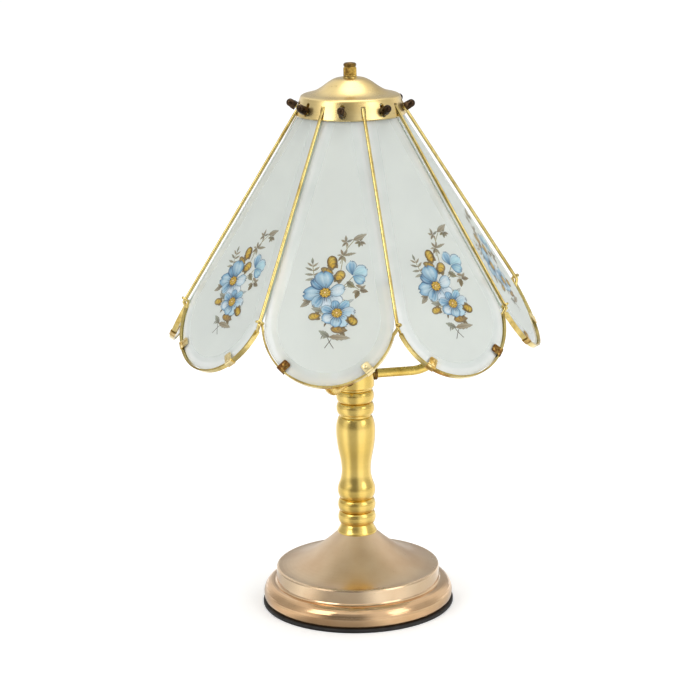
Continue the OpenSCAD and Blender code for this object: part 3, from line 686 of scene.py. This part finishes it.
def spray_mesh():
    """Stems, leaves, petals, buds with their sepals, and the eyes with their stamens."""
    art = Print()
    foot_y = -140  # stems below it are the dark cut ends
    for route in STEMS:
        art.line(route, 0.45, 0, OLIVE if route[0][1] > foot_y else DARK)
    for shape in LEAF_SHAPES:
        art.blade(*shape, "leaf", BROWN_INK)
    for shape in PETAL_SHAPES:
        art.blade(*shape, "petal", INK)
    for x, y, length, width, heading, layer, root, middle, rim, sepal in BUD_SHAPES:
        turn = math.radians(heading)
        for spread in (-34, 0, 34):
            side = turn + math.radians(180 + spread)
            start = (x + 0.1 * length * math.cos(side), y + 0.1 * length * math.sin(side))
            art.blade(*start, 0.38 * length + sepal, 0.52 * width, math.degrees(side), layer - 0.5,
                      DARK, UMBER, OLIVE, "leaf", BROWN_INK)
        art.blade(x - 0.45 * length * math.cos(turn), y - 0.45 * length * math.sin(turn),
                  0.9 * length, 0.88 * width, heading, layer, root, middle, rim, "bud", BROWN_INK)
    stamens = 22
    for x, y, r, layer in CENTRES:
        for i in range(stamens):
            turn = 2 * math.pi * i / stamens + 0.1
            reach = r + 0.8 + 0.7 * (i % 3)
            end = (x + reach * math.cos(turn), y + reach * math.sin(turn))
            art.line([(x, y), end], 0.26, layer - 0.5, DARK if i % 2 else INK)
        art.disc(x, y, 0.94 * r, layer, EYE_PALE, EYE_GOLD, BROWN_INK)
        art.disc(x - 0.2, y + 0.2, r * 0.36, layer + 0.5, EYE_HEART, GOLD, GOLD_DARK)
    return art


SPRAY = spray_mesh()


def flower_spray(k):
    obj = piece(f"flower_spray_{k}", SPRAY.points, SPRAY.faces, [PAINT], "shade", petal_matrix(k),
                closed=False)
    colours = obj.data.color_attributes.new("paint", "FLOAT_COLOR", "POINT")
    for i, colour in enumerate(SPRAY.paint):
        colours.data[i].color = colour


# ---------- clips ----------


# A folded clip, in millimetres: sheet thickness, width, length of its tabs, and the room round the strip
SHEET, CLIP_W, TAB_L, ROOM = 0.55, 5.6, 7.4, 0.32
TAB_CORNER = 1.2
DIMPLE_BACK, DIMPLE_R, DIMPLE_WIDE, DIMPLE_LIFT = 2.4, 1.0, 0.38, 0.34
# How dark each clip is, from bright brass to brown, by petal and side, where it is known; the others are
# seeded
CLIP_TONES = {(1, -1): 0.9, (1, 1): 0.02, (2, -1): 0.45, (2, 1): 0.85, (8, -1): 0.25, (8, 1): 0.1}


def clip_path():
    """The clip's section as (radius from the bow's centre, depth), from the front tab to the back tab."""
    inner, out = BOW_PATH_R - BOW_T / 2, BOW_PATH_R + BOW_T / 2 + 0.3
    over, under = BOW_W + BOW_DEEP / 2 + ROOM, BOW_W - BOW_DEEP / 2 - ROOM
    front, back = GLASS_W + ROOM, GLASS_W - GLASS_T - ROOM
    tip = out - TAB_L
    path = [(tip + 6.2 * t / 12, front) for t in range(12)]
    path += [(inner - 0.5, front), (inner + 0.1, over - 0.1), (inner + 0.6, over), (out - 0.5, over),
             (out - 0.1, over - 0.15), (out, over - 0.5), (out, (over + under) / 2), (out, under + 0.5),
             (out - 0.1, under + 0.15), (out - 0.5, under), (inner + 0.6, under),
             (inner + 0.1, under + 0.1), (inner - 0.5, back)]
    path += [(tip + 6.2 * t / 6, back) for t in range(5, -1, -1)]
    return path, tip, front


def folded_clip(k, side, clip_tone):
    """Sheet clip folded over the bowed strip: two tabs with round corners, and a dimple in the front one."""
    path, tip, front = clip_path()
    across = 12
    bm = bmesh.new()
    rows = []
    for r, w in path:
        near = max(0.0, 1.0 - (r - tip) / TAB_CORNER)
        half = CLIP_W / 2 - TAB_CORNER * (1 - math.sqrt(max(0.0, 1 - near * near)))
        row = []
        for j in range(across + 1):
            v = 2 * j / across - 1
            lift = 0.0
            if w == front:
                d = math.hypot(r - (tip + DIMPLE_BACK), v * half)
                lift = DIMPLE_LIFT * math.exp(-((d - DIMPLE_R) / DIMPLE_WIDE) ** 2)
            row.append(bm.verts.new((r, v * half, w + lift)))
        rows.append(row)
    for a, b in zip(rows, rows[1:]):
        for j in range(across):
            bm.faces.new((a[j], b[j], b[j + 1], a[j + 1]))
    mesh = bpy.data.meshes.new(f"folded_clip_{k}_{'ab'[side > 0]}")
    bm.to_mesh(mesh)
    bm.free()
    turn = Matrix.Rotation(-math.pi / 2 + side * CLIP_TURN, 4, "Z")
    mesh.transform(petal_matrix(k) @ (Matrix.Translation((0, BOW_Y, 0)) @ turn))
    obj = bpy.data.objects.new(mesh.name, mesh)
    bpy.context.scene.collection.objects.link(obj)
    thick = obj.modifiers.new("sheet", "SOLIDIFY")
    thick.thickness = SHEET * MM
    thick.offset = 0.0
    bpy.context.view_layer.objects.active = obj
    bpy.ops.object.modifier_apply(modifier=thick.name)
    sharpen(obj.data, 50.0)
    obj.data.materials.append(CLIP)
    # the clip's given tone, bright to dark, as a point attribute
    tone_attribute = obj.data.attributes.new("clip_tone", "FLOAT", "POINT")
    tone_attribute.data.foreach_set("value", [clip_tone] * len(obj.data.vertices))
    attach(obj, "shade")
    return obj


# ---------- finial ----------


KNURL_LOW, KNURL_TALL, KNURL_ROWS = 0.9, 4.4, 22
KNURL_TEETH, KNURL_SLANT, KNURL_DEEP = 30, 0.9, 0.3


def knurled_finial():
    """Turned finial with a diamond knurl below a neck and a plain head."""
    low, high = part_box("finial")
    radius, z0, tall = (high.x - low.x) / 2 / MM, low.z / MM, (high.z - low.z) / MM
    profile = [(3.2, 0.0), (radius - 0.35, 0.0), (radius - 0.05, 0.35)]
    profile += [(radius - 0.02, KNURL_LOW + KNURL_TALL * i / KNURL_ROWS) for i in range(KNURL_ROWS + 1)]
    profile += [(radius - 0.1, 5.6), (radius - 0.55, 6.0), (radius - 0.55, 6.6), (radius - 0.2, 6.95),
                (radius - 0.15, tall - 1.0), (radius - 0.6, tall - 0.3), (radius - 1.2, tall), (2.4, tall),
                (2.0, tall - 0.35), (0.0, tall - 0.35)]
    steps = 180
    points, faces = [], []
    for r, z in profile:
        knurled = KNURL_LOW - 0.05 < z < KNURL_LOW + KNURL_TALL + 0.05
        for i in range(steps):
            turn = 2 * math.pi * i / steps
            depth = 0.0
            if knurled:
                teeth = KNURL_TEETH * turn / (2 * math.pi)
                wave = [abs(((teeth + s * z * KNURL_SLANT) % 1.0) - 0.5) * 2 for s in (-1, 1)]
                depth = KNURL_DEEP * (1 - min(wave))
            points.append(((r - depth) * math.cos(turn), (r - depth) * math.sin(turn), z0 + z))
    for a in range(len(profile) - 1):
        for i in range(steps):
            j = (i + 1) % steps
            faces.append((a * steps + i, a * steps + j, (a + 1) * steps + j, (a + 1) * steps + i))
    obj = piece("knurled_finial", points, faces, [KNURL], "finial", Matrix.Scale(MM, 4), crease=24.0)
    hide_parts("finial")


# ---------- build ----------

clip_tone_seeds = random.Random(3)
for k in range(1, PETALS + 1):
    glass_panel(k)
    flower_spray(k)
    for side in (-1, 1):
        seeded = clip_tone_seeds.uniform(0.1, 0.9)
        clip = folded_clip(k, side, CLIP_TONES.get((k, side), seeded))
        if (k, side) == (1, -1):
            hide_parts("wire_clips")
knurled_finial()


# ---------- studio ----------

# Darker quarters of the room: heading in degrees, half width, soft edge, and how bright they are
QUARTERS = [(-98, 26, 14, 0.24), (172, 24, 16, 0.56), (4, 22, 16, 0.64), (90, 22, 12, 0.50)]
QUARTERS_TOP, QUARTERS_FADE = 54, 30  # degrees above the horizon at which they end, and begin to
FLOOR_SHARE = 0.75  # how much of them the floor has
FLOOR_PALE, FLOOR_SIZE = (0.97, 0.97, 0.97, 1.0), 60
WHITE = (1.0, 1.0, 1.0, 1.0)
SKY = 0.99


def darker(t, direction, base, amount):
    """Mixes the quarters' greys into a colour, by the level heading of a direction or place."""
    flat = t.new("VectorMath", operation="MULTIPLY")
    flat.inputs[1].default_value = (1, 1, 0)
    t.link(direction, flat.inputs[0])
    unit = t.new("VectorMath", operation="NORMALIZE")
    t.link(flat.outputs[0], unit.inputs[0])
    colour = base
    for heading, half, soft, grey in QUARTERS:
        turn = math.radians(heading)
        dot = t.new("VectorMath", operation="DOT_PRODUCT")
        dot.inputs[1].default_value = (math.cos(turn), math.sin(turn), 0)
        t.link(unit.outputs[0], dot.inputs[0])
        near = t.spread(dot.outputs["Value"], 0.0, 1.0, math.cos(math.radians(half + soft)),
                        math.cos(math.radians(half - soft)), "SMOOTHSTEP")
        colour = t.mix(t.math("MULTIPLY", near, amount), colour, (grey, grey, grey, 1.0))
    return colour


def floor():
    """A pale sweep. What the metal mirrors of it is darker in the same quarters as the room."""
    m = Nodes("studio_floor", Roughness=0.9, Emission_Strength=0.22)
    mirrored = m.spread(m.new("LightPath").outputs["Is Glossy Ray"], 0.0, FLOOR_SHARE)
    shade = darker(m, m.coords(), FLOOR_PALE, mirrored)
    m.colour(shade)
    m.link(shade, m.bsdf.inputs["Emission Color"])
    bpy.ops.mesh.primitive_plane_add(size=FLOOR_SIZE, location=(0, 0, 0))
    obj = bpy.context.active_object
    obj.name = "floor"
    obj.data.materials.append(m.mat)


def sky():
    """White studio: bright overhead and at the corners, darker in four quarters; the backdrop is white."""
    world = bpy.data.worlds.new("studio")
    bpy.context.scene.world = world
    world.use_nodes = True
    t = Tree(world.node_tree)
    background = next(n for n in t.tree.nodes if n.type == "BACKGROUND")
    at = t.new("TexCoord").outputs["Generated"]
    split = t.new("SeparateXYZ")
    t.link(at, split.inputs[0])
    low = t.spread(split.outputs["Z"], 0.0, 1.0, math.sin(math.radians(QUARTERS_TOP)),
                   math.sin(math.radians(QUARTERS_FADE)), "SMOOTHSTEP")
    unseen = t.spread(t.new("LightPath").outputs["Is Camera Ray"], 1.0, 0.0, 0.0, 1.0)
    shade = darker(t, at, WHITE, t.math("MULTIPLY", low, unseen))
    t.link(shade, background.inputs["Color"])
    background.inputs["Strength"].default_value = SKY


def softbox(name, place, aim, size, power):
    """A soft rectangular light, in metres and watts."""
    light = bpy.data.lights.new(name, "AREA")
    light.shape = "RECTANGLE"
    light.size, light.size_y = size
    light.energy = power
    obj = bpy.data.objects.new(name, light)
    bpy.context.scene.collection.objects.link(obj)
    obj.location = place
    obj.rotation_euler = (Vector(aim) - Vector(place)).to_track_quat("-Z", "Y").to_euler()


floor()
sky()
MIDDLE = (0, 0, 0.2)
softbox("key", (-1.1, -1.2, 1.3), MIDDLE, (0.9, 0.9), 7)
softbox("fill", (1.3, -0.7, 0.9), MIDDLE, (0.7, 1.0), 4)
softbox("top", (0.1, 0.2, 1.8), MIDDLE, (1.2, 1.2), 7)


def camera():
    """The photograph's view: from the front, a little to the right and above."""
    azimuth, elevation, roll = math.radians(8.8), math.radians(13.75), math.radians(-0.91)
    distance, target = 1.50295, Vector((0, 0, 0.190))
    away = Vector((math.sin(azimuth) * math.cos(elevation), -math.cos(azimuth) * math.cos(elevation),
                   math.sin(elevation)))
    right = (-away).cross(Vector((0, 0, 1))).normalized()
    up = right.cross(-away)
    x = right * math.cos(roll) + up * math.sin(roll)
    y = up * math.cos(roll) - right * math.sin(roll)
    data = bpy.data.cameras.new("camera")
    data.sensor_width = 36.0
    data.lens = 113.17
    data.shift_x, data.shift_y = -0.0059, -0.0194
    data.clip_end = 100.0
    obj = bpy.data.objects.new("camera", data)
    bpy.context.scene.collection.objects.link(obj)
    turn = Matrix((x, y, away)).transposed().to_4x4()
    obj.matrix_world = Matrix.Translation(target + away * distance) @ turn
    bpy.context.scene.camera = obj


camera()
bpy.context.scene.view_settings.view_transform = "Standard"
